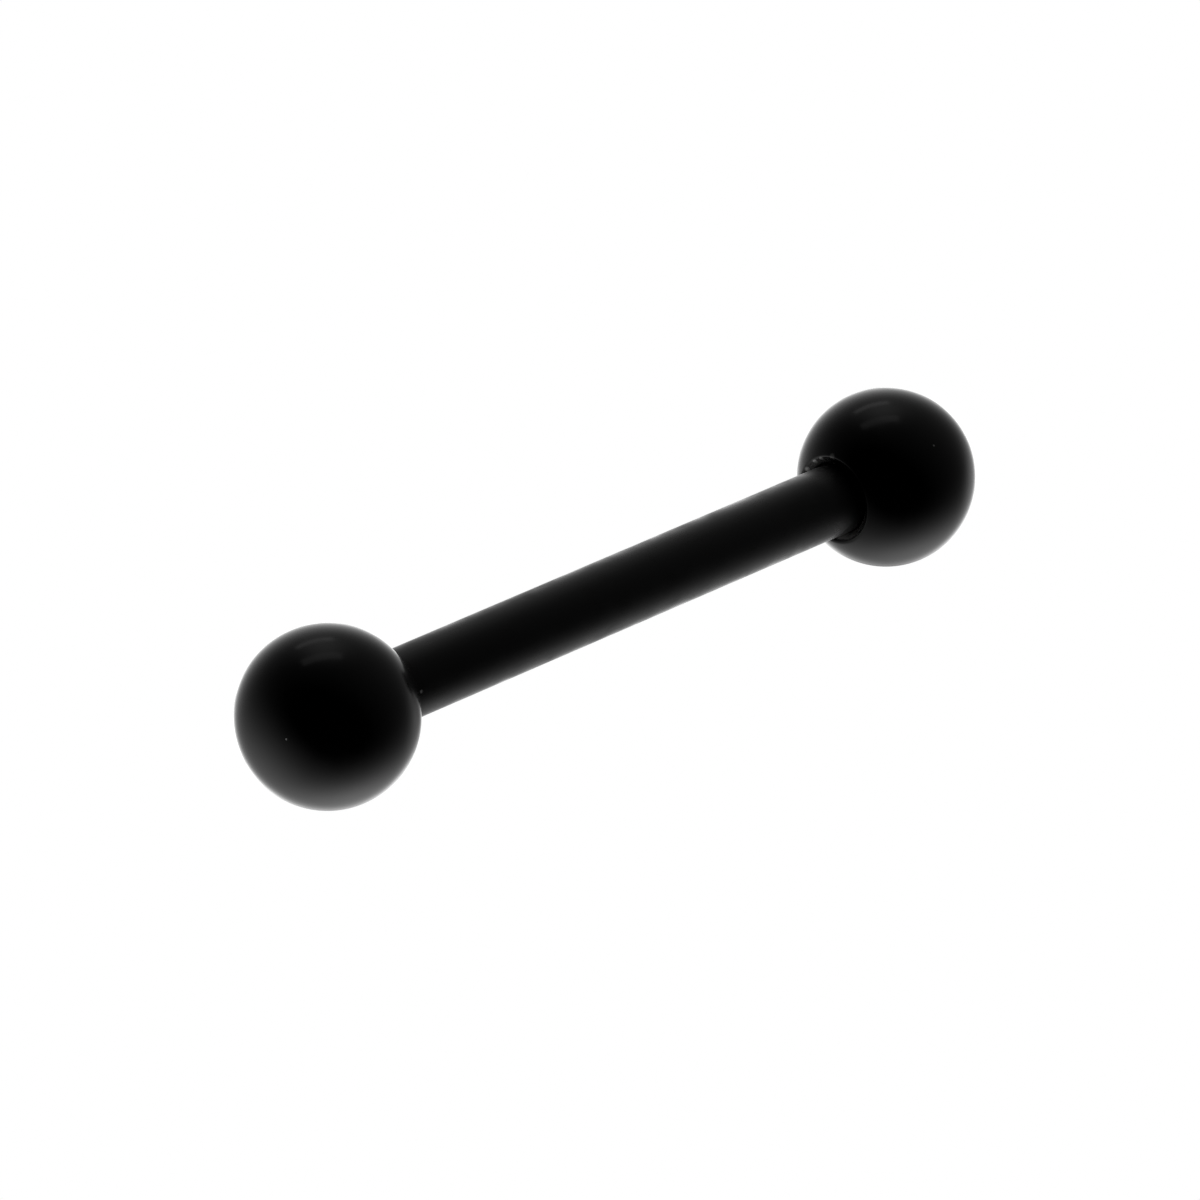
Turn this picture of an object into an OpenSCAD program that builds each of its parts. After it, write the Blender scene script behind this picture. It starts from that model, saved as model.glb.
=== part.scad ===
// Straight piercing barbell: a round bar with a screw-on ball at each end.
// It lies on its two balls, with the bar along X and the surface at Z = 0.

/* [Bar] */
// Thickness of the bar between the balls
bar_d = 1.6; // [1.2:0.1:2]
// Wearable length, from the mouth of one ball to the mouth of the other
wear_length = 14; // [6:1:40]
// Chamfer at the bar's two tips
tip_chamfer = 0.15; // [0.1:0.05:0.25]

/* [Balls] */
// Diameter of each ball
ball_d = 4; // [3:0.5:8]
// How far the rim of the countersunk mouth stands out round the bar
mouth_rim = 0.19; // [0.14:0.01:0.26]
// Metal left between the drilled hole and the ball's far side
end_wall = 0.55; // [0.4:0.05:0.8]
// How far round the bar's axis the left ball stands, in degrees
left_turn = 0; // [0:5:355]
// How far round the bar's axis the right ball stands, in degrees
right_turn = 60; // [0:5:355]

/* [Thread] */
// Distance from one ridge of the thread to the next
pitch = 0.35; // [0.25:0.05:0.4]
// How far the crests of the thread lie below the bar's surface
crest_drop = 0.05; // [0.03:0.01:0.08]
// Gap between the thread's crests and the wall of the ball's hole
thread_play = 0.02; // [0.01:0.01:0.05]
// Gap between the bar's shoulder and the countersink that it seats in
seat_play = 0.05; // [0.03:0.01:0.07]
// Room between the bar's tip and the bottom of the hole
tip_play = 0.25; // [0.15:0.05:0.4]

/* [Hidden] */
$fn = 96;
coating = [0.035, 0.035, 0.04];

bar_r = bar_d / 2;
ball_r = ball_d / 2;
mouth_r = bar_r + mouth_rim;
crest_r = bar_r - crest_drop;
root_r = crest_r - pitch / 2;
hole_r = crest_r + thread_play;

// The mouth is a flat circle on the ball, and this is its distance from the ball's centre
mouth_from_centre = sqrt(ball_r * ball_r - mouth_r * mouth_r);
ball_x = wear_length / 2 + mouth_from_centre;

// Depths into a ball, measured from its mouth. The countersink slopes at 45 degrees
hole_depth = mouth_from_centre + ball_r - end_wall;
drill_point = hole_r / tan(59);
seat_depth = mouth_rim - seat_play;
shoulder_depth = seat_depth + bar_r - root_r;
tip_depth = hole_depth - drill_point - tip_play;

// One ridge is a V with narrow flats at its root and its crest
root_flat = pitch / 4;
crest_flat = pitch / 8;
flank = (pitch - root_flat - crest_flat) / 2;
ridges = max(1, floor((tip_depth - tip_chamfer - shoulder_depth) / pitch));
first_ridge = tip_depth - tip_chamfer - ridges * pitch;

// Outline of one end of the bar as [radius, depth] points, from the shoulder to the tip
function ridge(start) = [
    [root_r, start + root_flat / 2],
    [crest_r, start + root_flat / 2 + flank],
    [crest_r, start + root_flat / 2 + flank + crest_flat],
    [root_r, start + pitch - root_flat / 2]
];
function end_outline() = concat(
    [[bar_r, seat_depth], [root_r, shoulder_depth]],
    [for (i = [0 : ridges - 1]) each ridge(first_ridge + i * pitch)],
    [[root_r, tip_depth - tip_chamfer], [root_r - tip_chamfer, tip_depth], [0, tip_depth]]
);

// The same outline placed on the right half of the bar, and its mirror image on the left
function right_half() = [for (p = end_outline()) [p[0], wear_length / 2 + p[1]]];
function left_half(points) = [for (i = [len(points) - 1 : -1 : 0]) [points[i][0], -points[i][1]]];

module on_bar_axis() {
    translate([0, 0, ball_r])
        rotate([0, 90, 0])
            children();
}

module bar() {
    color(coating)
        on_bar_axis()
            rotate_extrude()
                polygon(concat(left_half(right_half()), right_half()));
}

// A ball with its hole along Z, the mouth upwards and its centre at the origin
module drilled_ball() {
    difference() {
        sphere(r = ball_r);
        translate([0, 0, mouth_from_centre - hole_depth + drill_point])
            cylinder(r = hole_r, h = hole_depth);
        translate([0, 0, mouth_from_centre - hole_depth])
            cylinder(r1 = 0, r2 = hole_r, h = drill_point);
        translate([0, 0, mouth_from_centre - mouth_r + hole_r])
            cylinder(r1 = hole_r, r2 = ball_r + hole_r, h = ball_r);
    }
}

module ball(side, turn) {
    color(coating)
        translate([side * ball_x, 0, ball_r])
            rotate([turn, 0, 0])
                rotate([0, -90 * side, 0])
                    drilled_ball();
}

module ball_left() {
    ball(-1, left_turn);
}

module ball_right() {
    ball(1, right_turn);
}

bar();
ball_left();
ball_right();
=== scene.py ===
"""A straight black piercing barbell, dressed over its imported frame.

The bar and both balls are turned, drilled and threaded here as in a workshop, in
millimetres, and each finished piece is then brought to metres. X runs along the
bar, Z is up, and the surface that the balls lie on is at Z = 0.
"""

import logging
import math
from abc import ABC, abstractmethod
from dataclasses import dataclass
from enum import Enum
from functools import cached_property, reduce
from typing import Callable, Mapping, Sequence

import bmesh
import bpy
from mathutils import Matrix, Vector


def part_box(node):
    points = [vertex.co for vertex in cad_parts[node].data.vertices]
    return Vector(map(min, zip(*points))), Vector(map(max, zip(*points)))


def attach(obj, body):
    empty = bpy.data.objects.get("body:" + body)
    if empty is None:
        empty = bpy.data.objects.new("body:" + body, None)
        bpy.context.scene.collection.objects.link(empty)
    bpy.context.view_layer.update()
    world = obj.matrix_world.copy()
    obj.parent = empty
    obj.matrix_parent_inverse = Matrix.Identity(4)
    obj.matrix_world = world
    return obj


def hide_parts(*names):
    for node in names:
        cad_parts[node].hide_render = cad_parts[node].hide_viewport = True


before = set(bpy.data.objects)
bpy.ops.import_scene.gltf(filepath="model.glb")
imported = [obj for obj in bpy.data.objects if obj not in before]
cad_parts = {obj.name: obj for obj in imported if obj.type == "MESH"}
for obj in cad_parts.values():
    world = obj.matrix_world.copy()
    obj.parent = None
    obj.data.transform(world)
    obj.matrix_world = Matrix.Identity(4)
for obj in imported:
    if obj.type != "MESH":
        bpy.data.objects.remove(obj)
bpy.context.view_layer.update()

LOG = logging.getLogger("barbell")
MM = 0.001
FULL_TURN = 2 * math.pi
SAME_PLACE = 0.0001
WELD_DISTANCE = 0.0005
TOOL_CLEARANCE = 0.012

Socket = bpy.types.NodeSocket


class Side(Enum):
    """The two ends of the bar. The value is the end's direction along X."""

    LEFT = -1
    RIGHT = 1


class Slot(Enum):
    """Names of two material slots."""

    BAR = "bar_coating"
    BALL = "ball_coating"


class Part(Enum):
    """What edit mode selects. The value is Blender's name for it."""

    POINT = "VERT"
    EDGE = "EDGE"
    FACE = "FACE"


@dataclass(frozen=True)
class Sizes:
    """Sizes of the barbell in millimetres. The first five come from the frame.

    Attributes:
        bar_r: Radius of the bar between the balls.
        ball_r: Radius of a ball.
        axis_z: Height of the bar's axis over the surface.
        mouth_x: Distance from the middle of the bar to each ball's flat mouth.
        half_length: Distance from the middle of the bar to each of its tips.
        crest_drop: How far the crests of the thread lie below the bar's surface.
        thread_depth: Depth of the bar's thread, from crest to root.
        pitch: Distance from one ridge of the thread to the next.
        thread_play: Gap between the thread's crests and the wall of the hole.
        end_wall: Metal between the bottom of the hole and the ball's far side.
        seat_play: Gap between the bar's shoulder and the countersink.
    """

    bar_r: float
    ball_r: float
    axis_z: float
    mouth_x: float
    half_length: float
    crest_drop: float = 0.05
    thread_depth: float = 0.175
    pitch: float = 0.35
    thread_play: float = 0.02
    end_wall: float = 0.55
    seat_play: float = 0.05

    @classmethod
    def from_frame(cls) -> "Sizes":
        """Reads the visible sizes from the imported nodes.

        Returns:
            The sizes, in millimetres.
        """
        bar_low, bar_high = (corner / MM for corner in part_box("bar"))
        ball_low, ball_high = (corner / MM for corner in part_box("ball_right"))
        return cls(
            bar_r=round((bar_high.z - bar_low.z) / 2, 2),
            ball_r=round((ball_high.y - ball_low.y) / 2, 2),
            axis_z=round((ball_high.z + ball_low.z) / 2, 2),
            mouth_x=round(ball_low.x, 2),
            half_length=round(bar_high.x, 3),
        )

    @property
    def crest_r(self) -> float:
        """Radius of the bar's thread over its crests."""
        return self.bar_r - self.crest_drop

    @property
    def root_r(self) -> float:
        """Radius of the bar's thread at its root."""
        return self.crest_r - self.thread_depth

    @property
    def root_flat(self) -> float:
        """Width of the flat at the root of the bar's thread."""
        return self.pitch / 4

    @property
    def flank(self) -> float:
        """Length along the bar of a ridge's slope, which leaves its crest an eighth of the pitch."""
        return (self.pitch - self.root_flat - self.pitch / 8) / 2

    @property
    def hole_r(self) -> float:
        """Radius of the drilled hole in a ball."""
        return self.crest_r + self.thread_play

    @property
    def ball_x(self) -> float:
        """Distance from the middle of the bar to a ball's centre."""
        outer_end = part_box("ball_right")[1].x / MM
        return outer_end - self.ball_r

    @property
    def mouth_r(self) -> float:
        """Radius of the flat mouth's rim, where its plane cuts the ball."""
        return math.sqrt(self.ball_r**2 - (self.ball_x - self.mouth_x) ** 2)

    @property
    def seat_depth(self) -> float:
        """Depth in the mouth at which the bar's shoulder starts."""
        return self.mouth_r - self.bar_r - self.seat_play


class Workpiece:
    """A mesh on the bench, in millimetres, that is turned, cut and finished with Blender's tools."""

    def __init__(self, name: str) -> None:
        """Takes the primitive that was just added, and brings its place into its mesh.

        Args:
            name: Name of the piece.
        """
        self.obj: bpy.types.Object = bpy.context.object
        self.obj.name = name
        self.obj.data.name = name
        bpy.ops.object.transform_apply(location=True, rotation=True, scale=True)

    @staticmethod
    def clear_bench() -> None:
        """Deselects everything, so that the next tool acts on a new piece alone."""
        bpy.ops.object.select_all(action="DESELECT")

    def hold(self) -> None:
        """Selects this piece alone and makes it the active one."""
        self.clear_bench()
        self.obj.select_set(True)
        bpy.context.view_layer.objects.active = self.obj

    def start_edit(self, part: Part = Part.POINT) -> None:
        """Opens the piece in edit mode with nothing selected.

        Args:
            part: What can be selected.
        """
        self.hold()
        bpy.ops.object.mode_set(mode="EDIT")
        bpy.ops.mesh.select_mode(type=part.value)
        bpy.ops.mesh.select_all(action="DESELECT")

    @staticmethod
    def end_edit() -> None:
        """Closes edit mode."""
        bpy.ops.object.mode_set(mode="OBJECT")

    def pick(self, part: Part, test: Callable[[object], bool]) -> None:
        """Selects the points or faces that pass a test, and what lies between the points.

        Args:
            part: What is tested, points or faces.
            test: Takes a point or a face and says whether it is wanted.
        """
        bpy.ops.mesh.select_all(action="DESELECT")
        mesh = bmesh.from_edit_mesh(self.obj.data)
        for found in filter(test, mesh.faces if part is Part.FACE else mesh.verts):
            found.select_set(True)
        mesh.select_flush(True)
        bmesh.update_edit_mesh(self.obj.data)

    @staticmethod
    def follow(outline: Sequence[tuple[float, float]], axis_z: float) -> None:
        """Extrudes the selected ring along an outline.

        Args:
            outline: Place along the bar and radius of each step, from the ring's own.
            axis_z: Height of the axis.
        """
        for (x, radius), (next_x, next_radius) in zip(outline, outline[1:]):
            scale = next_radius / radius
            bpy.ops.mesh.extrude_region_move(TRANSFORM_OT_translate={"value": (next_x - x, 0, 0)})
            bpy.ops.transform.resize(value=(1, scale, scale), center_override=(next_x, 0, axis_z))

    @staticmethod
    def face_out() -> None:
        """Turns every face outwards."""
        bpy.ops.mesh.select_all(action="SELECT")
        bpy.ops.mesh.normals_make_consistent(inside=False)

    def round_edge(self, x: float, radius: float, axis_z: float, width: float, steps: int) -> None:
        """Rounds one edge that runs round the axis.

        Args:
            x: Where the edge lies along the bar.
            radius: Radius of the edge.
            axis_z: Height of the axis.
            width: Width that the rounding takes on each side.
            steps: Faces across the rounding.
        """
        near = width / 4

        def on_edge(point: bmesh.types.BMVert) -> bool:
            """Says whether a point lies on the edge."""
            from_axis = math.hypot(point.co.y, point.co.z - axis_z)
            return abs(point.co.x - x) < near and abs(from_axis - radius) < near

        self.pick(Part.POINT, on_edge)
        bpy.ops.mesh.bevel(offset=width, segments=steps, profile=0.5, affect="EDGES")

    def cut_with(self, tool: "Workpiece") -> None:
        """Cuts the piece with another one, which is used up.

        Args:
            tool: The closed solid that takes metal away.
        """
        self.hold()
        cut = self.obj.modifiers.new("cut", "BOOLEAN")
        cut.operation = "DIFFERENCE"
        cut.solver = "EXACT"
        cut.object = tool.obj
        bpy.ops.object.modifier_apply(modifier=cut.name)
        bpy.data.objects.remove(tool.obj)

    def weld(self) -> None:
        """Merges points that coincide, drops points that only split an edge, and turns faces out."""
        self.start_edit()
        bpy.ops.mesh.select_all(action="SELECT")
        bpy.ops.mesh.remove_doubles(threshold=WELD_DISTANCE)
        bpy.ops.mesh.dissolve_degenerate(threshold=WELD_DISTANCE)
        self.pick(Part.POINT, lambda point: len(point.link_edges) == 2)
        bpy.ops.mesh.dissolve_verts()
        self.face_out()
        self.end_edit()

    def finish(self, material: bpy.types.Material, smooth_angle: float) -> bpy.types.Object:
        """Brings the piece from millimetres to metres, and gives it its shading and material.

        Args:
            material: Its material.
            smooth_angle: Edges sharper than this, in degrees, stay crisp.

        Returns:
            The finished object, at the origin and unscaled.
        """
        self.hold()
        self.obj.scale = (MM, MM, MM)
        bpy.ops.object.transform_apply(location=True, rotation=True, scale=True)
        bpy.ops.object.shade_smooth_by_angle(angle=math.radians(smooth_angle))
        self.obj.data.materials.clear()
        self.obj.data.materials.append(material)
        return self.obj


@dataclass(frozen=True)
class ThreadTool:
    """A right-hand helical cutter with a V-shaped edge, as a lathe or a tap has.

    Attributes:
        sizes: Sizes of the barbell.
        tip_r: Radius that the narrow edge reaches.
        wide_r: Radius at which the V has its full width.
        back_r: Radius of the tool's back, clear of the metal.
        tip_width: Width of the narrow edge.
        slope: How much wider the V grows for each millimetre that it is deep.
        steps: Straight pieces in one turn.
    """

    sizes: Sizes
    tip_r: float
    wide_r: float
    back_r: float
    tip_width: float
    slope: float
    steps: int = 72

    def build(self, start_x: float, turns: int) -> Workpiece:
        """Makes the cutter as one closed solid.

        Args:
            start_x: Where its first turn starts along the bar.
            turns: Number of turns.

        Returns:
            The cutter, in millimetres.
        """
        Workpiece.clear_bench()
        half = 0.5
        bpy.ops.mesh.primitive_plane_add(size=2 * half, rotation=(math.pi / 2, 0, 0))
        tool = Workpiece("thread_tool")
        outward = 1 if self.back_r > self.tip_r else -1
        tool.start_edit()
        self._place_edge(tool, outward * -half, self.tip_r, self.tip_width)
        wide_width = self.tip_width + self.slope * abs(self.wide_r - self.tip_r)
        self._place_edge(tool, outward * half, self.wide_r, wide_width)
        tool.pick(Part.POINT, lambda point: abs(point.co.z - self.wide_r) < SAME_PLACE)
        bpy.ops.mesh.extrude_region_move(
            TRANSFORM_OT_translate={"value": (0, 0, self.back_r - self.wide_r)}
        )
        bpy.ops.mesh.select_mode(type=Part.FACE.value)
        bpy.ops.mesh.select_all(action="SELECT")
        bpy.ops.mesh.dissolve_faces()
        tool.end_edit()
        self._sweep(tool, turns)
        tool.start_edit(Part.EDGE)
        bpy.ops.mesh.select_non_manifold()
        bpy.ops.mesh.fill_holes(sides=0)
        tool.face_out()
        bpy.ops.transform.translate(value=(start_x, 0, self.sizes.axis_z))
        tool.end_edit()
        return tool

    @staticmethod
    def _place_edge(tool: Workpiece, level: float, radius: float, width: float) -> None:
        """Moves one edge of the profile to its radius and gives it its width.

        Args:
            tool: The profile, still one flat face.
            level: Height at which the edge lies now.
            radius: Height at which it belongs.
            width: Its length along the bar.
        """
        tool.pick(Part.POINT, lambda point: abs(point.co.z - level) < SAME_PLACE)
        bpy.ops.transform.resize(value=(width, 1, 1), center_override=(0, 0, level))
        bpy.ops.transform.translate(value=(0, 0, radius - level))

    def _sweep(self, tool: Workpiece, turns: int) -> None:
        """Turns the profile about the bar's axis into a helix.

        Args:
            tool: The finished profile.
            turns: Number of turns.
        """
        screw = tool.obj.modifiers.new("helix", "SCREW")
        screw.axis = "X"
        screw.angle = FULL_TURN
        screw.screw_offset = self.sizes.pitch
        screw.iterations = turns
        screw.steps = self.steps
        screw.render_steps = self.steps
        screw.use_merge_vertices = False
        bpy.ops.object.modifier_apply(modifier=screw.name)


class NodeSheet:
    """A node tree with short calls for the nodes that the finishes and the light are made of."""

    def __init__(self, tree: bpy.types.NodeTree) -> None:
        """Empties the tree of a material or a world."""
        self.tree = tree
        tree.nodes.clear()

    def add(
        self, kind: str, inputs: Mapping[str | int, object] | None = None, **settings: object
    ) -> bpy.types.Node:
        """Adds a node, sets it up and feeds it.

        Args:
            kind: Blender's type name of the node.
            inputs: What goes into its inputs, a socket or a constant, by name or number.
            **settings: Its properties.

        Returns:
            The node.
        """
        node = self.tree.nodes.new(kind)
        for name, value in settings.items():
            setattr(node, name, value)
        for name, value in (inputs or {}).items():
            if isinstance(value, Socket):
                self.tree.links.new(value, node.inputs[name])
            else:
                node.inputs[name].default_value = value
        return node

    def math(self, operation: str, *values: object) -> Socket:
        """Does one of Blender's sums on numbers."""
        return self.add("ShaderNodeMath", dict(enumerate(values)), operation=operation).outputs[0]

    def vector(self, operation: str, *values: object) -> bpy.types.bpy_prop_collection:
        """Does one of Blender's sums on vectors, whose result is in Value or in Vector."""
        return self.add("ShaderNodeVectorMath", dict(enumerate(values)), operation=operation).outputs

    def product(self, *values: object) -> Socket:
        """Multiplies two or more values, from the first to the last."""
        return reduce(lambda first, second: self.math("MULTIPLY", first, second), values)

    def ramp(
        self,
        value: object,
        low: float,
        high: float,
        levels: tuple[float, float] = (0.0, 1.0),
        gentle: bool = True,
    ) -> Socket:
        """Goes from one level to another while a value goes from low to high.

        Args:
            value: The input.
            low: Where it gives the first level.
            high: Where it gives the second level.
            levels: The two levels.
            gentle: Whether it starts and ends slowly.

        Returns:
            The result.
        """
        inputs = {"Value": value, "From Min": low, "From Max": high}
        inputs |= {"To Min": levels[0], "To Max": levels[1]}
        shape = "SMOOTHSTEP" if gentle else "LINEAR"
        node = self.add("ShaderNodeMapRange", inputs, interpolation_type=shape, clamp=True)
        return node.outputs["Result"]

    def stretch(
        self, place: object, scale: Sequence[float], turn: Sequence[float] = (0, 0, 0)
    ) -> Socket:
        """Turns and stretches a pattern's coordinates, where a larger scale is finer."""
        inputs = {"Vector": place, "Scale": scale, "Rotation": turn}
        return self.add("ShaderNodeMapping", inputs, vector_type="POINT").outputs["Vector"]

    def noise(self, place: object, scale: float, detail: float = 2.0) -> Socket:
        """Makes a soft random pattern around one half, with a number of cells in each unit."""
        inputs = {"Vector": place, "Scale": scale, "Detail": detail}
        return self.add("ShaderNodeTexNoise", inputs, noise_dimensions="3D", normalize=True).outputs["Fac"]

    def patches(self, grain: float, low: float, high: float) -> Socket:
        """Makes ragged patches of a noise's cells, between two levels of it."""
        return self.ramp(self.noise(self.place, grain), low, high)

    @cached_property
    def place(self) -> Socket:
        """The point in the barbell's frame, in millimetres."""
        coordinates = self.add("ShaderNodeTexCoord").outputs["Object"]
        return self.stretch(coordinates, (1 / MM, 1 / MM, 1 / MM))

    @cached_property
    def place_axes(self) -> bpy.types.bpy_prop_collection:
        """The X, Y and Z of the point."""
        return self.add("ShaderNodeSeparateXYZ", {"Vector": self.place}).outputs

    @cached_property
    def outward(self) -> Socket:
        """The point's distance along the bar from its middle, towards either end."""
        return self.math("ABSOLUTE", self.place_axes["X"])

    def from_axis(self, axis_z: float) -> tuple[Socket, Socket]:
        """Says how the point lies to the bar's axis.

        Args:
            axis_z: Height of the axis.

        Returns:
            Its offset from the axis and its distance from it.
        """
        centred = self.vector("SUBTRACT", self.place, (0, 0, axis_z))["Vector"]
        across = self.vector("MULTIPLY", centred, (0, 1, 1))["Vector"]
        return across, self.vector("LENGTH", across)["Value"]

    def by_ray(self, reflected: object, seen: object) -> Socket:
        """Shows one shader in reflections and another one to the camera."""
        to_camera = self.add("ShaderNodeLightPath").outputs["Is Camera Ray"]
        return self.add("ShaderNodeMixShader", {"Fac": to_camera, 1: reflected, 2: seen}).outputs["Shader"]

    def surface(self, shader: object, output: str = "ShaderNodeOutputMaterial") -> None:
        """Puts a shader on the tree's output."""
        self.add(output, {"Surface": shader})


class Wear(ABC):
    """A place where the coating is gone and the steel shows."""

    @abstractmethod
    def mask(self, sheet: NodeSheet) -> Socket:
        """Makes the nodes that say how bare each point is, from 0 to 1.

        Args:
            sheet: The material's nodes.

        Returns:
            The mask.
        """


@dataclass(frozen=True)
class BareSpot(Wear):
    """A small spot of bare steel.

    Attributes:
        centre: Its middle, in millimetres.
        radius: Its radius.
        amount: How much of the coating is gone in its middle.
    """

    centre: tuple[float, float, float]
    radius: float
    amount: float = 1.0

    def mask(self, sheet: NodeSheet) -> Socket:
        """Fades from a third of the spot's radius to its edge."""
        away = sheet.vector("DISTANCE", sheet.place, self.centre)["Value"]
        return sheet.product(sheet.ramp(away, self.radius, self.radius / 3), self.amount)


@dataclass(frozen=True)
class CrestWear(Wear):
    """Wear on the crests of the bar's threads, where the balls have rubbed.

    Attributes:
        sizes: Sizes of the barbell.
        rubbed: Depth below the crests that the wear reaches.
    """

    sizes: Sizes
    rubbed: float = 0.035

    def mask(self, sheet: NodeSheet) -> Socket:
        """Shows steel near the crests, in patches, beyond the shoulder.

        Args:
            sheet: The material's nodes.

        Returns:
            The mask.
        """
        sizes = self.sizes
        _, radius = sheet.from_axis(sizes.axis_z)
        near_crest = sheet.ramp(radius, sizes.crest_r - self.rubbed, sizes.crest_r - self.rubbed / 4)
        threads_from = sizes.mouth_x + sizes.seat_depth + sizes.bar_r - sizes.root_r
        beyond = sheet.ramp(sheet.outward, threads_from, threads_from + sizes.pitch)
        return sheet.product(near_crest, beyond, sheet.patches(grain=2.4, low=0.38, high=0.6))


@dataclass(frozen=True)
class BareHole(Wear):
    """The blind hole of a ball, which the coating reaches only near its mouth.

    Attributes:
        sizes: Sizes of the barbell.
        coated_depth: How far in the coating still covers.
        fade: Length over which it thins out.
        ragged: How uneven the edge of the coating is.
    """

    sizes: Sizes
    coated_depth: float = 0.3
    fade: float = 0.8
    ragged: float = 0.4

    def mask(self, sheet: NodeSheet) -> Socket:
        """Shows steel deep in the hole, and none on the ball's far side.

        Args:
            sheet: The material's nodes.

        Returns:
            The mask.
        """
        sizes = self.sizes
        _, radius = sheet.from_axis(sizes.axis_z)
        inside = sheet.ramp(radius, sizes.mouth_r, sizes.mouth_r - sizes.seat_play)
        pattern = sheet.noise(sheet.place, scale=3.0)
        uneven = sheet.math("MULTIPLY_ADD", pattern, self.ragged, sheet.outward)
        start = sizes.mouth_x + self.coated_depth
        deep = sheet.ramp(uneven, start, start + self.fade)
        bottom = sizes.ball_x + sizes.ball_r - sizes.end_wall / 2
        in_hole = sheet.ramp(sheet.outward, bottom, bottom - sizes.seat_play)
        return sheet.product(inside, deep, in_hole)


@dataclass(frozen=True)
class SeatWearAndHighlight(Wear):
    """A stretch of bare steel on the mouth's rim and countersink: partly rubbed by the bar's shoulder,
    partly a painted highlight that lightens the band where they catch the light.

    Attributes:
        sizes: Sizes of the barbell.
        middle: Angle of its middle round the axis, in degrees from +Y up towards +Z.
        spread: Half the angle that it takes up.
        outer_r: Radius at which it starts.
        inner_r: Radius at which it ends.
        amount: How much of the coating is gone.
        blur: Half the angle over which its two ends fade.
        depth: How deep in the mouth it starts to fade.
        depth_blur: Depth over which it fades.
    """

    sizes: Sizes
    middle: float
    spread: float
    outer_r: float
    inner_r: float
    amount: float
    blur: float = 10
    depth: float = 0.3
    depth_blur: float = 0.2

    def mask(self, sheet: NodeSheet) -> Socket:
        """Shows steel between the two radii, on one side of the mouth, as rubbed metal and painted
        highlight.

        Args:
            sheet: The material's nodes.

        Returns:
            The mask.
        """
        sizes, fade = self.sizes, self.sizes.seat_play
        across, radius = sheet.from_axis(sizes.axis_z)
        started = sheet.ramp(radius, self.outer_r, self.outer_r - fade)
        not_ended = sheet.ramp(radius, self.inner_r, self.inner_r + fade)
        full_to = sizes.mouth_x + self.depth
        near_mouth = sheet.ramp(sheet.outward, full_to + self.depth_blur, full_to)
        angle, spread, blur = map(math.radians, (self.middle, self.spread, self.blur))
        towards = sheet.vector("DOT_PRODUCT", across, (0, math.cos(angle), math.sin(angle)))
        share = sheet.math("DIVIDE", towards["Value"], radius)
        on_side = sheet.ramp(share, math.cos(spread + blur), math.cos(spread - blur))
        patches = sheet.patches(grain=5.0, low=0.15, high=0.45)
        return sheet.product(on_side, self.amount, started, not_ended, near_mouth, patches)


@dataclass(frozen=True)
class Layers:
    """Patterns that a coating's colour, roughness and relief share.

    Attributes:
        marks: Fine polishing marks.
        cloud: Soft pattern of the coating's thickness.
        bare: Mask of the bare steel.
    """

    marks: Socket
    cloud: Socket
    bare: Socket


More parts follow.
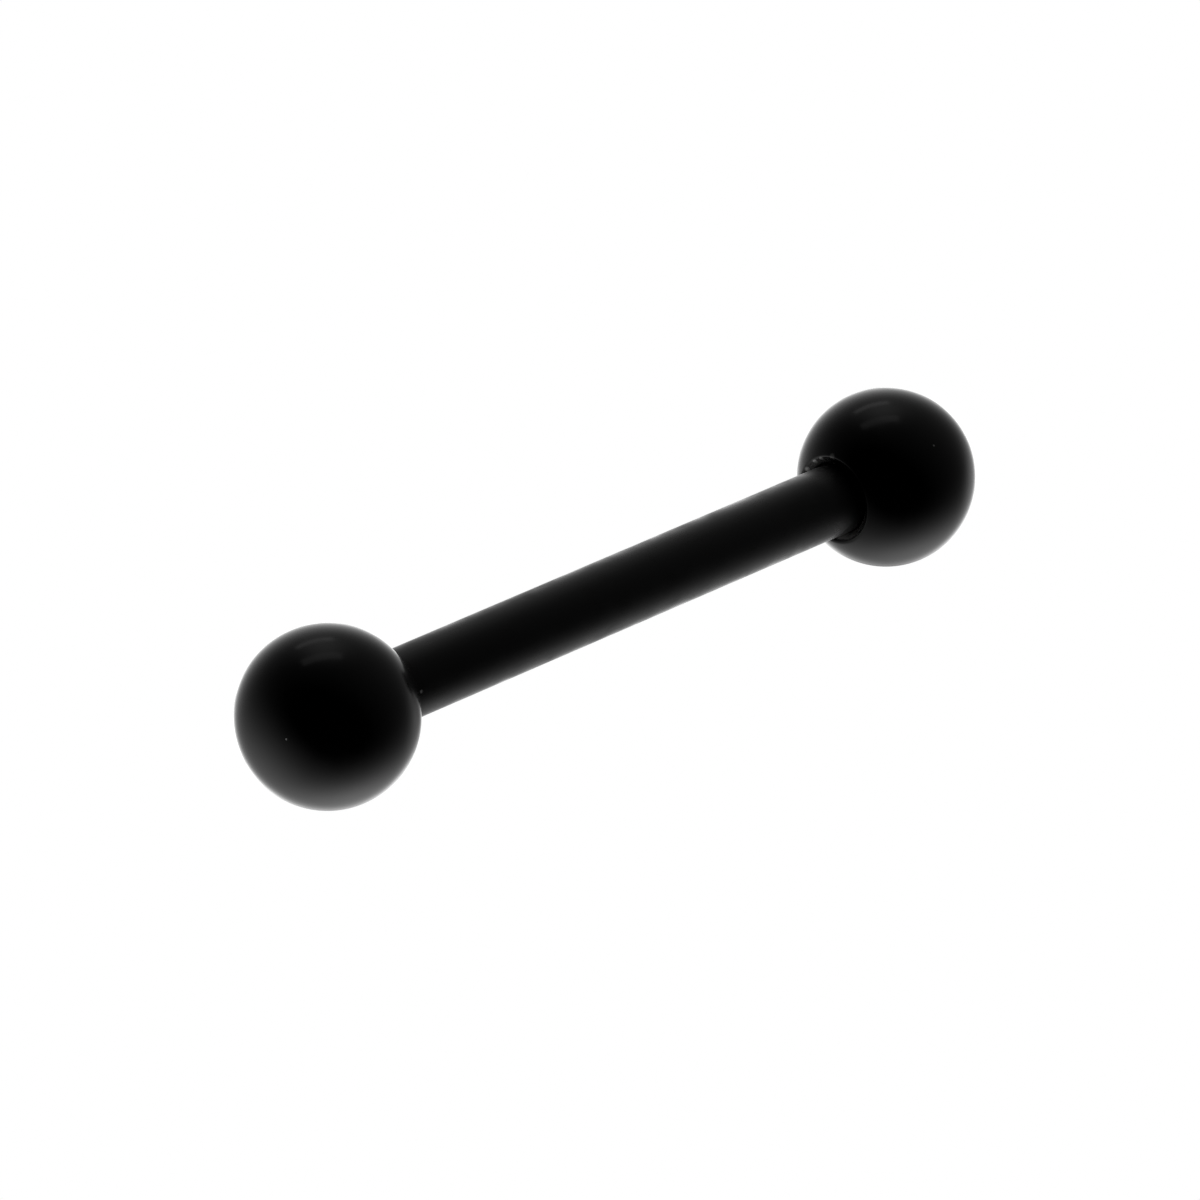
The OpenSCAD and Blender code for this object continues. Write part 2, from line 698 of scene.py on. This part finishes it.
@dataclass(frozen=True)
class BlackCoating:
    """A thin gloss black coating over polished steel.

    Attributes:
        name: Name of the material.
        grey: How light the coating is.
        gloss: Roughness of the coating.
        steel_gloss: Roughness of the bare steel.
        marks_along: Fineness of the polishing marks along the bar.
        marks_across: Fineness of the polishing marks across the bar.
        mark_height: Height of the polishing marks, in millimetres.
        bare_places: Places where the steel shows: wear, chips and, on the balls' mouths, painted
            highlights and glints.
        steel: How light the bare steel is.
        ripple_height: Height of the soft ripples under the coating, in millimetres.
        bare_sink_depth: How deep the bare steel sinks, in heights of the polishing marks.
    """

    name: str
    grey: float
    gloss: float
    steel_gloss: float
    marks_along: float
    marks_across: float
    mark_height: float
    bare_places: tuple[Wear, ...]
    steel: float = 0.55
    ripple_height: float = 0.0012
    bare_sink_depth: float = 4

    def material(self) -> bpy.types.Material:
        """Builds the material.

        Returns:
            The material, which reads Object coordinates alone.
        """
        material = bpy.data.materials.new(self.name)
        material.use_nodes = True
        sheet = NodeSheet(material.node_tree)
        masks = (bare_marks.mask(sheet) for bare_marks in self.bare_places)
        bare = reduce(lambda first, second: sheet.math("MAXIMUM", first, second), masks)
        cloud = sheet.noise(sheet.place, scale=1.7, detail=3.0)
        layers = Layers(self._marks(sheet), cloud, bare)
        inputs = {
            "Base Color": self._colour(sheet, layers),
            "Metallic": bare,
            "Roughness": self._roughness(sheet, layers),
            "Normal": self._relief(sheet, layers),
        }
        shader = sheet.add("ShaderNodeBsdfPrincipled", inputs)
        shader.inputs["IOR"].default_value = 1.5
        shader.inputs["Specular IOR Level"].default_value = 0.5
        sheet.surface(shader.outputs["BSDF"])
        return material

    def _marks(self, sheet: NodeSheet) -> Socket:
        """Makes the fine polishing marks.

        Args:
            sheet: The material's nodes.

        Returns:
            The pattern of the marks.
        """
        slant = (0.9, 0.5, 0.3)
        straight_share = 0.7
        along, across = self.marks_along, self.marks_across
        straight = sheet.noise(sheet.stretch(sheet.place, (along, across, across)), 1.0, 3.0)
        slanted = sheet.noise(sheet.stretch(sheet.place, (along, across, 1.0), slant), 1.0)
        weighted = sheet.product(straight, straight_share)
        return sheet.math("MULTIPLY_ADD", slanted, 1 - straight_share, weighted)

    def _colour(self, sheet: NodeSheet, layers: Layers) -> Socket:
        """Makes the colour, from the uneven coating to the bare steel.

        Args:
            sheet: The material's nodes.
            layers: The coating's patterns.

        Returns:
            The colour.
        """
        change = 0.3
        greys = (self.grey * (1 - change), self.grey * (1 + change))
        lightness = sheet.ramp(layers.cloud, 0.3, 0.7, greys, gentle=False)
        less_blue = 0.98
        steel = (self.steel, self.steel, self.steel * less_blue, 1)
        first_colour, second_colour, mixed_colour = 6, 7, 2
        inputs = {"Factor": layers.bare, first_colour: lightness, second_colour: steel}
        return sheet.add("ShaderNodeMix", inputs, data_type="RGBA").outputs[mixed_colour]

    def _roughness(self, sheet: NodeSheet, layers: Layers) -> Socket:
        """Makes the roughness, which follows the marks and the wear.

        Args:
            sheet: The material's nodes.
            layers: The coating's patterns.

        Returns:
            The roughness.
        """
        marks_share = 0.5
        mean_unevenness = 0.5 + 0.5 * marks_share
        uneven = sheet.math("ADD", layers.cloud, sheet.product(layers.marks, marks_share))
        coated = sheet.product(uneven, self.gloss / mean_unevenness)
        gap = sheet.math("SUBTRACT", self.steel_gloss, coated)
        return sheet.math("MULTIPLY_ADD", gap, layers.bare, coated)

    def _relief(self, sheet: NodeSheet, layers: Layers) -> Socket:
        """Makes the fine relief of marks, ripples and sunken bare steel.

        Args:
            sheet: The material's nodes.
            layers: The coating's patterns.

        Returns:
            The surface's normal.
        """
        marks_height = sheet.product(layers.marks, self.mark_height)
        height = sheet.math("ADD", marks_height, sheet.product(layers.cloud, self.ripple_height))
        bare_sunk = sheet.product(layers.bare, self.mark_height * self.bare_sink_depth)
        lowered = sheet.math("SUBTRACT", height, bare_sunk)
        inputs = {"Strength": 1.0, "Distance": MM, "Height": lowered}
        return sheet.add("ShaderNodeBump", inputs).outputs["Normal"]


@dataclass(frozen=True)
class Bar:
    """The straight bar, with a threaded end on each side.

    Attributes:
        sizes: Sizes of the barbell.
        segments: Straight pieces round the bar.
        tip_r: Radius of the flat at each tip.
        edge_round: Width of the rounding at each shoulder and tip.
        neck_drop: How far the neck lies below the thread's root.
        tip_length: Length of the tip beyond the last ridge.
        ridges: Ridges of the thread.
        thread_turns: Turns that the thread's cutter makes, past both ends of the thread.
        run_in: How far before the thread its cutter starts, in pitches.
        crisp_angle: Edges sharper than this, in degrees, stay crisp.
    """

    sizes: Sizes
    segments: int = 128
    tip_r: float = 0.425
    edge_round: float = 0.02
    neck_drop: float = 0.01
    tip_length: float = 0.15
    ridges: int = 5
    thread_turns: int = 7
    run_in: float = 0.3
    crisp_angle: float = 25

    @property
    def thread_start(self) -> float:
        """Where the neck ends and the thread starts, from the middle of the bar."""
        return self.sizes.half_length - self.tip_length - self.ridges * self.sizes.pitch

    def turned_ends(self) -> list[tuple[float, float]]:
        """Gives one end's outline beyond the shoulder.

        Returns:
            Distance from the middle of the bar and radius of each step, outwards.
        """
        sizes = self.sizes
        shoulder = sizes.mouth_x + sizes.seat_depth
        neck_r = sizes.root_r - self.neck_drop
        return [
            (shoulder + sizes.bar_r - neck_r, neck_r),
            (self.thread_start, neck_r),
            (self.thread_start + sizes.flank, sizes.crest_r),
            (sizes.half_length - sizes.crest_r + self.tip_r, sizes.crest_r),
            (sizes.half_length, self.tip_r),
        ]

    def turn(self) -> Workpiece:
        """Turns the blank, from a plain rod to shoulders, necks and chamfered tips.

        Returns:
            The blank, in millimetres.
        """
        sizes = self.sizes
        shoulder = sizes.mouth_x + sizes.seat_depth
        Workpiece.clear_bench()
        bpy.ops.mesh.primitive_cylinder_add(
            vertices=self.segments,
            radius=sizes.bar_r,
            depth=2 * shoulder,
            location=(0, 0, sizes.axis_z),
            rotation=(0, math.pi / 2, 0),
        )
        blank = Workpiece("threaded_bar")
        blank.start_edit(Part.FACE)
        for side in Side:
            self._turn_end(blank, side, shoulder)
        bpy.ops.mesh.select_mode(type=Part.POINT.value)
        for side in Side:
            for x, radius, steps in ((shoulder, sizes.bar_r, 3), (sizes.half_length, self.tip_r, 2)):
                blank.round_edge(side.value * x, radius, sizes.axis_z, self.edge_round, steps)
        blank.end_edit()
        return blank

    def _turn_end(self, blank: Workpiece, side: Side, shoulder: float) -> None:
        """Turns one end of the blank.

        Args:
            blank: The bar, open in edit mode.
            side: Which end.
            shoulder: Where the bar's full thickness ends.
        """
        end_on = 0.99
        blank.pick(Part.FACE, lambda face: face.normal.x * side.value > end_on)
        steps = ((shoulder, self.sizes.bar_r), *self.turned_ends())
        blank.follow([(side.value * x, radius) for x, radius in steps], self.sizes.axis_z)

    def thread_tool(self) -> ThreadTool:
        """Gives the tool that cuts the groove between the ridges.

        Returns:
            The tool.
        """
        sizes = self.sizes
        return ThreadTool(
            sizes,
            tip_r=sizes.root_r,
            wide_r=sizes.crest_r + TOOL_CLEARANCE,
            back_r=sizes.bar_r + TOOL_CLEARANCE,
            tip_width=sizes.root_flat,
            slope=2 * sizes.flank / sizes.thread_depth,
        )

    def build(self, finish: BlackCoating) -> bpy.types.Object:
        """Makes the bar, threads both ends and dresses it.

        Args:
            finish: Its finish.

        Returns:
            The finished piece.
        """
        piece = self.turn()
        cut_from = self.thread_start - self.sizes.pitch * self.run_in
        reach = self.thread_turns * self.sizes.pitch
        for side in Side:
            start_x = cut_from if side is Side.RIGHT else -cut_from - reach
            piece.cut_with(self.thread_tool().build(start_x, self.thread_turns))
        piece.weld()
        bar = piece.finish(finish.material(), self.crisp_angle)
        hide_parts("bar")
        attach(bar, "bar")
        return bar


@dataclass(frozen=True)
class Ball:
    """A ball with a countersunk mouth and a blind tapped hole.

    Attributes:
        sizes: Sizes of the barbell.
        side: Which end of the bar it is on.
        segments: Straight pieces round the bar's axis.
        rings: Rings from one pole to the other.
        lip_outside: Width of the mouth's rounded lip on the ball's skin.
        lip_inside: Width of that lip on the countersink.
        lip_steps: Straight pieces across that rounding.
        edge_round: Width of the rounding where the countersink meets the hole.
        tap_depth: Depth of the thread in the wall of the hole.
        crisp_angle: Edges sharper than this, in degrees, stay crisp.
    """

    sizes: Sizes
    side: Side
    segments: int = 128
    rings: int = 94
    lip_outside: float = 0.06
    lip_inside: float = 0.11
    lip_steps: int = 12
    edge_round: float = 0.025
    tap_depth: float = 0.12
    crisp_angle: float = 30

    @property
    def name(self) -> str:
        """Name of the ball's node and body."""
        return f"ball_{self.side.name.lower()}"

    def along(self, depth: float) -> float:
        """Turns a depth in the mouth into a place along the bar."""
        return self.side.value * (self.sizes.mouth_x + depth)

    @property
    def drill_point(self) -> float:
        """Height of the cone that the drill leaves at the bottom of the hole."""
        drill_angle = math.radians(118)
        return self.sizes.hole_r / math.tan(drill_angle / 2)

    @property
    def hole_depth(self) -> float:
        """Depth of the hole's bottom from the mouth."""
        sizes = self.sizes
        return sizes.ball_x + sizes.ball_r - sizes.end_wall - sizes.mouth_x

    def lip(self) -> list[tuple[float, float]]:
        """Gives the rounded lip between the ball's skin and the countersink.

        Returns:
            Depth from the mouth and radius of each step, from the skin inwards.
        """
        sizes = self.sizes
        centre_depth = sizes.ball_x - sizes.mouth_x
        skin_angle = math.asin(sizes.mouth_r / sizes.ball_r) + self.lip_outside / sizes.ball_r
        skin = Vector((
            centre_depth - sizes.ball_r * math.cos(skin_angle), sizes.ball_r * math.sin(skin_angle)
        ))
        edge = Vector((0, sizes.mouth_r))
        slope = self.lip_inside * math.sqrt(0.5)
        inner = Vector((slope, sizes.mouth_r - slope))
        steps = []
        for index in range(self.lip_steps + 1):
            share = index / self.lip_steps
            point = skin.lerp(edge, share).lerp(edge.lerp(inner, share), share)
            steps.append((point.x, point.y))
        return steps

    def shell(self) -> Workpiece:
        """Makes the ball and cuts it off flat where the mouth's lip starts.

        Returns:
            The open ball, in millimetres.
        """
        sizes = self.sizes
        Workpiece.clear_bench()
        bpy.ops.mesh.primitive_uv_sphere_add(
            segments=self.segments,
            ring_count=self.rings,
            radius=sizes.ball_r,
            location=(self.side.value * sizes.ball_x, 0, sizes.axis_z),
            rotation=(0, math.pi / 2, 0),
        )
        ball = Workpiece(f"threaded_{self.name}")
        ball.start_edit()
        bpy.ops.mesh.select_all(action="SELECT")
        bpy.ops.mesh.bisect(
            plane_co=(self.along(self.lip()[0][0]), 0, sizes.axis_z),
            plane_no=(-self.side.value, 0, 0),
            clear_outer=True,
        )
        ball.end_edit()
        return ball

    def drill(self, ball: Workpiece) -> None:
        """Rounds the lip, countersinks the mouth and drills the blind hole.

        Args:
            ball: The open ball.
        """
        sizes = self.sizes
        countersink = sizes.mouth_r - sizes.hole_r
        wall_end = self.hole_depth - self.drill_point
        steps = (*self.lip(), (countersink, sizes.hole_r), (wall_end, sizes.hole_r))
        outline = [(self.along(depth), radius) for depth, radius in steps]
        ball.start_edit()
        ball.pick(Part.POINT, lambda point: abs(point.co.x - outline[0][0]) < SAME_PLACE)
        ball.follow(outline, sizes.axis_z)
        bpy.ops.mesh.extrude_region_move(
            TRANSFORM_OT_translate={"value": (self.side.value * self.drill_point, 0, 0)}
        )
        bpy.ops.mesh.merge(type="CENTER")
        ball.face_out()
        ball.round_edge(self.along(countersink), sizes.hole_r, sizes.axis_z, self.edge_round, 2)
        ball.end_edit()

    def tap(self, ball: Workpiece) -> None:
        """Cuts the thread in the wall of the hole.

        Args:
            ball: The drilled ball.
        """
        sizes = self.sizes
        crest_flat = sizes.pitch / 4
        tool = ThreadTool(
            sizes,
            tip_r=sizes.hole_r + self.tap_depth,
            wide_r=sizes.hole_r - TOOL_CLEARANCE,
            back_r=sizes.hole_r - 4 * TOOL_CLEARANCE,
            tip_width=crest_flat,
            slope=(sizes.pitch - 2 * crest_flat) / self.tap_depth,
        )
        first = sizes.mouth_r - sizes.hole_r + sizes.pitch / 2
        last = self.hole_depth - self.drill_point - sizes.pitch / 2
        turns = int((last - first) / sizes.pitch)
        start_x = self.along(first)
        if self.side is Side.LEFT:
            start_x -= turns * sizes.pitch
        ball.cut_with(tool.build(start_x, turns))

    def build(self, finish: BlackCoating) -> bpy.types.Object:
        """Makes the ball, dresses it and puts it on its body.

        Args:
            finish: Its finish.

        Returns:
            The finished piece.
        """
        piece = self.shell()
        self.drill(piece)
        self.tap(piece)
        piece.weld()
        ball = piece.finish(finish.material(), self.crisp_angle)
        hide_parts(self.name)
        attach(ball, self.name)
        return ball


def direction(azimuth: float, elevation: float) -> Vector:
    """Gives a direction of length one.

    Args:
        azimuth: Angle round the vertical, in degrees from +X towards +Y.
        elevation: Angle over the horizon, in degrees.

    Returns:
        The direction.
    """
    level = math.cos(math.radians(elevation))
    turn = math.radians(azimuth)
    return Vector((level * math.cos(turn), level * math.sin(turn), math.sin(math.radians(elevation))))


@dataclass(frozen=True)
class Glow:
    """One soft patch of light in what the barbell reflects.

    Attributes:
        azimuth: Angle of its middle round the vertical.
        elevation: Angle of its middle over the horizon.
        tightness: How fast it fades away from its middle.
        strength: How bright its middle is.
    """

    azimuth: float
    elevation: float
    tightness: float
    strength: float


@dataclass(frozen=True)
class StripLight:
    """A long light overhead, seen as a thin streak in each ball.

    Attributes:
        start: One end over the floor, in heights of the light.
        end: The other end, in heights of the light.
        width: Its width, in heights of the light.
        radiance: How bright it looks.
        height: Its height over the floor, in metres.
    """

    start: tuple[float, float]
    end: tuple[float, float]
    width: float
    radiance: float
    height: float = 0.5

    def build(self, name: str) -> None:
        """Hangs the light, facing the barbell.

        Args:
            name: Name of the light.
        """
        first = Vector((*self.start, 1)) * self.height
        last = Vector((*self.end, 1)) * self.height
        middle = (first + last) / 2
        length = (last - first).length
        data = bpy.data.lights.new(name, "AREA")
        data.shape = "RECTANGLE"
        data.size = length
        data.size_y = self.width * self.height
        data.energy = self.radiance * math.pi * length * data.size_y
        light = bpy.data.objects.new(name, data)
        facing = middle.normalized()
        along = (last - first).normalized()
        across = facing.cross(along).normalized()
        along = across.cross(facing)
        turn = Matrix((along, across, facing)).transposed()
        light.matrix_world = Matrix.Translation(middle) @ turn.to_4x4()
        bpy.context.scene.collection.objects.link(light)


@dataclass(frozen=True)
class FloorShade:
    """The soft shade of the lying barbell on the floor, as its own surface reflects it.

    Attributes:
        sizes: Sizes of the barbell.
        under_bar: Strength of the bar's shade, where 1 is the shade in even light.
        under_left: Strength of the left ball's shade.
        under_right: Strength of the right ball's shade.
    """

    sizes: Sizes
    under_bar: float = 1.58
    under_left: float = 0.92
    under_right: float = 1.0

    def light(self, sheet: NodeSheet) -> Socket:
        """Makes the nodes that say how much of the light each point of the floor keeps.

        Args:
            sheet: The floor's nodes.

        Returns:
            The share of the light, from 0 to 1.
        """
        shades = (self._of_bar(sheet), *(self._of_ball(sheet, side) for side in Side))
        kept = (sheet.math("MAXIMUM", sheet.math("SUBTRACT", 1.0, shade), 0.0) for shade in shades)
        return sheet.product(*kept)

    def _of_bar(self, sheet: NodeSheet) -> Socket:
        """Gives the light that the bar takes, which covers the sky as a long thin rod does.

        Args:
            sheet: The floor's nodes.

        Returns:
            The share of the light.
        """
        sizes = self.sizes
        x, y = sheet.place_axes["X"], sheet.place_axes["Y"]
        away_squared = sheet.math("MULTIPLY_ADD", y, y, sizes.axis_z**2)
        away = sheet.math("SQRT", away_squared)
        cover = []
        for side in Side:
            reach = sheet.math("MULTIPLY_ADD", x, side.value, sizes.mouth_x)
            slant = sheet.math("DIVIDE", reach, away)
            bend = sheet.math("DIVIDE", slant, sheet.math("MULTIPLY_ADD", slant, slant, 1.0))
            cover.append(sheet.math("ADD", bend, sheet.math("ARCTANGENT", slant)))
        strength = self.under_bar * sizes.bar_r * sizes.axis_z / math.pi
        return sheet.math("DIVIDE", sheet.product(sheet.math("ADD", *cover), strength), away_squared)

    def _of_ball(self, sheet: NodeSheet, side: Side) -> Socket:
        """Gives the light that one ball takes from the floor round it.

        Args:
            sheet: The floor's nodes.
            side: Which ball.

        Returns:
            The share of the light.
        """
        sizes = self.sizes
        x, y = sheet.place_axes["X"], sheet.place_axes["Y"]
        along = sheet.math("ADD", x, -side.value * sizes.ball_x)
        across_squared = sheet.math("MULTIPLY_ADD", y, y, sizes.axis_z**2)
        away_squared = sheet.math("MULTIPLY_ADD", along, along, across_squared)
        strength = self.under_left if side is Side.LEFT else self.under_right
        taken = strength * sizes.ball_r**2 * sizes.axis_z
        return sheet.math("DIVIDE", taken, sheet.math("POWER", away_squared, 1.5))


@dataclass(frozen=True)
class Studio:
    """A white sweep lit from behind, with the dark room on the camera's side.

    Attributes:
        glows: Soft patches of light that the barbell reflects.
        strips: Long lights overhead.
        shade: Shade of the barbell on the floor.
        dimming: What is taken off everywhere, so that the camera's side is black.
        floor_size: Side of the square floor, in metres.
    """

    glows: tuple[Glow, ...]
    strips: tuple[StripLight, ...]
    shade: FloorShade
    dimming: float = 0.59
    floor_size: float = 4.0

    def build(self) -> None:
        """Makes the floor, the surroundings and the lights."""
        self.lay_floor()
        self.light_surroundings()
        for index, strip in enumerate(self.strips, start=1):
            strip.build(f"strip_light_{index}")

    def lay_floor(self) -> None:
        """Lays the floor, plain white to the camera and a pane dimmed by shade to reflections."""
        Workpiece.clear_bench()
        bpy.ops.mesh.primitive_plane_add(size=self.floor_size)
        floor = bpy.context.object
        floor.name = "floor"
        material = bpy.data.materials.new("white_floor")
        material.use_nodes = True
        sheet = NodeSheet(material.node_tree)
        glow = sheet.add("ShaderNodeEmission", {"Strength": 1.0})
        veil = sheet.add("ShaderNodeBsdfTransparent", {"Color": self.shade.light(sheet)})
        sheet.surface(sheet.by_ray(veil.outputs["BSDF"], glow.outputs["Emission"]))
        floor.data.materials.append(material)

    def light_surroundings(self) -> None:
        """Makes the light that the barbell reflects, and a white view beyond the floor."""
        world = bpy.data.worlds.new("white_sweep")
        bpy.context.scene.world = world
        world.use_nodes = True
        sheet = NodeSheet(world.node_tree)
        looking = sheet.add("ShaderNodeTexCoord").outputs["Generated"]
        total = sheet.math("ADD", -self.dimming, 0.0)
        for glow in self.glows:
            middle = direction(glow.azimuth, glow.elevation)
            facing = sheet.vector("DOT_PRODUCT", looking, middle)["Value"]
            falloff = sheet.math("MULTIPLY_ADD", facing, glow.tightness, -glow.tightness)
            total = sheet.math("MULTIPLY_ADD", sheet.math("EXPONENT", falloff), glow.strength, total)
        white = (1, 1, 1, 1)
        strength = sheet.math("MAXIMUM", total, 0.0)
        reflected, seen = (
            sheet.add("ShaderNodeBackground", {"Color": white, "Strength": level}).outputs["Background"]
            for level in (strength, 1.0)
        )
        sheet.surface(sheet.by_ray(reflected, seen), "ShaderNodeOutputWorld")
        bpy.context.scene.view_settings.view_transform = "Standard"


@dataclass(frozen=True)
class PhotoCamera:
    """The camera at the photograph's place.

    Attributes:
        place: Where it stands, in metres.
        azimuth: Angle round the vertical that it looks from.
        elevation: Angle over the horizon that it looks from.
        focal_mm: Focal length on a sensor 36 mm wide.
    """

    place: tuple[float, float, float] = (-0.148944, -0.143968, 0.09662)
    azimuth: float = -135.891
    elevation: float = 24.583
    focal_mm: float = 313.89

    def build(self) -> None:
        """Sets up the camera and makes it the scene's own."""
        back = direction(self.azimuth, self.elevation)
        data = bpy.data.cameras.new("camera")
        data.lens = self.focal_mm
        data.sensor_width = 36
        data.clip_start = 0.01
        data.clip_end = 20
        camera = bpy.data.objects.new("camera", data)
        camera.location = self.place
        camera.rotation_mode = "QUATERNION"
        camera.rotation_quaternion = (-back).to_track_quat("-Z", "Y")
        bpy.context.scene.collection.objects.link(camera)
        bpy.context.scene.camera = camera


def bar_finish(sizes: Sizes) -> BlackCoating:
    """Describes the bar's finish.

    Args:
        sizes: Sizes of the barbell.

    Returns:
        The finish.
    """
    bar_spot = BareSpot(centre=(-6.70, -0.78, 2.16), radius=0.055)
    return BlackCoating(
        name="black_coated_bar",
        grey=0.0015,
        gloss=0.34,
        steel_gloss=0.34,
        marks_along=1.2,
        marks_across=14.0,
        mark_height=0.0003,
        bare_places=(bar_spot, CrestWear(sizes)),
    )


def ball_finish(sizes: Sizes, side: Side) -> BlackCoating:
    """Describes a ball's finish, with the bare spots that the photograph shows on it, those on the right
    rim partly painted glints and highlights.

    Args:
        sizes: Sizes of the barbell.
        side: Which ball.

    Returns:
        The finish.
    """
    # Painted reflection on both balls: bare rough steel on the lower countersink, partly shoulder rub,
    # lightens the band that reflects the pale floor.
    low = SeatWearAndHighlight(sizes, middle=-128, spread=42, outer_r=0.96, inner_r=0.8, amount=1.0)
    bare_marks: tuple[Wear, ...] = (low, BareHole(sizes))
    if side is Side.LEFT:
        chips_and_glints: tuple[Wear, ...] = (BareSpot(centre=(-10.60, -0.66, 2.32), radius=0.031),)
    else:
        # Painted highlight: bare steel on the upper rim, partly shoulder rub, lightens the rim and fades
        # into the countersink.
        high = SeatWearAndHighlight(sizes, middle=50, spread=24, outer_r=0.97, inner_r=0.83, amount=0.5)
        # Painted glints: the row of spots on the upper rim, partly chipped coating.
        chips_and_glints = (BareSpot(centre=(8.62, -1.54, 3.28), radius=0.035), *rim_chips_and_glints(sizes), high)
    return BlackCoating(
        name=f"black_coated_ball_{side.name.lower()}",
        grey=0.0008,
        gloss=0.17,
        steel_gloss=0.42,
        marks_along=9.0,
        marks_across=1.0,
        mark_height=0.0002,
        bare_places=(*chips_and_glints, *bare_marks),
    )


def rim_chips_and_glints(sizes: Sizes) -> tuple[BareSpot, ...]:
    """Gives the row of bare spots on the upper rim of the right ball's mouth, partly chipped coating and
    partly painted glints.

    Args:
        sizes: Sizes of the barbell.

    Returns:
        The spots, whose angles run from +Y up towards +Z.
    """
    spot_r = 0.1
    least_depth = 0.03
    chips_and_glints = []
    # Painted glints: each spot sits where the rim glints, and its amount sets how bright that glint is.
    beads = ((30, 0.94, 0.82), (51, 0.93, 1.0), (65, 0.93, 1.0), (86.5, 1.02, 0.42))
    for degrees, from_axis, amount in beads:
        angle = math.radians(degrees)
        across, up = math.cos(angle) * from_axis, math.sin(angle) * from_axis
        depth = max(sizes.mouth_r - from_axis, least_depth)
        centre = (sizes.mouth_x + depth, across, sizes.axis_z + up)
        chips_and_glints.append(BareSpot(centre=centre, radius=spot_r, amount=amount))
    return tuple(chips_and_glints)


def photo_studio(sizes: Sizes) -> Studio:
    """Describes the light that the photograph shows in the barbell's surface.

    Args:
        sizes: Sizes of the barbell.

    Returns:
        The studio.
    """
    return Studio(
        glows=(
            Glow(azimuth=45, elevation=-40, tightness=18, strength=3.3),
            Glow(azimuth=50, elevation=-10, tightness=7, strength=0.9),
            Glow(azimuth=0, elevation=-20, tightness=30, strength=0.3),
            Glow(azimuth=0, elevation=-75, tightness=7, strength=2),
            Glow(azimuth=135, elevation=-50, tightness=4, strength=0.8),
            Glow(azimuth=50, elevation=60, tightness=20, strength=0.2),
            Glow(azimuth=20, elevation=20, tightness=0.12, strength=0.68),
        ),
        strips=(
            StripLight(start=(0.21, 1.04), end=(0.80, 0.66), width=0.17, radiance=0.26),
            StripLight(start=(-0.20, 0.45), end=(0.40, 0.04), width=0.19, radiance=0.13),
        ),
        shade=FloorShade(sizes),
    )


def main() -> None:
    """Builds the scene, piece by piece."""
    logging.basicConfig(level=logging.INFO, format="%(message)s")
    sizes = Sizes.from_frame()
    PhotoCamera().build()
    bar = Bar(sizes).build(bar_finish(sizes))
    LOG.info("made %s with %d faces", bar.name, len(bar.data.polygons))
    for side in Side:
        ball = Ball(sizes, side).build(ball_finish(sizes, side))
        LOG.info("made %s with %d faces", ball.name, len(ball.data.polygons))
    photo_studio(sizes).build()
    LOG.info("lit the studio")


if __name__ == "__main__":
    main()
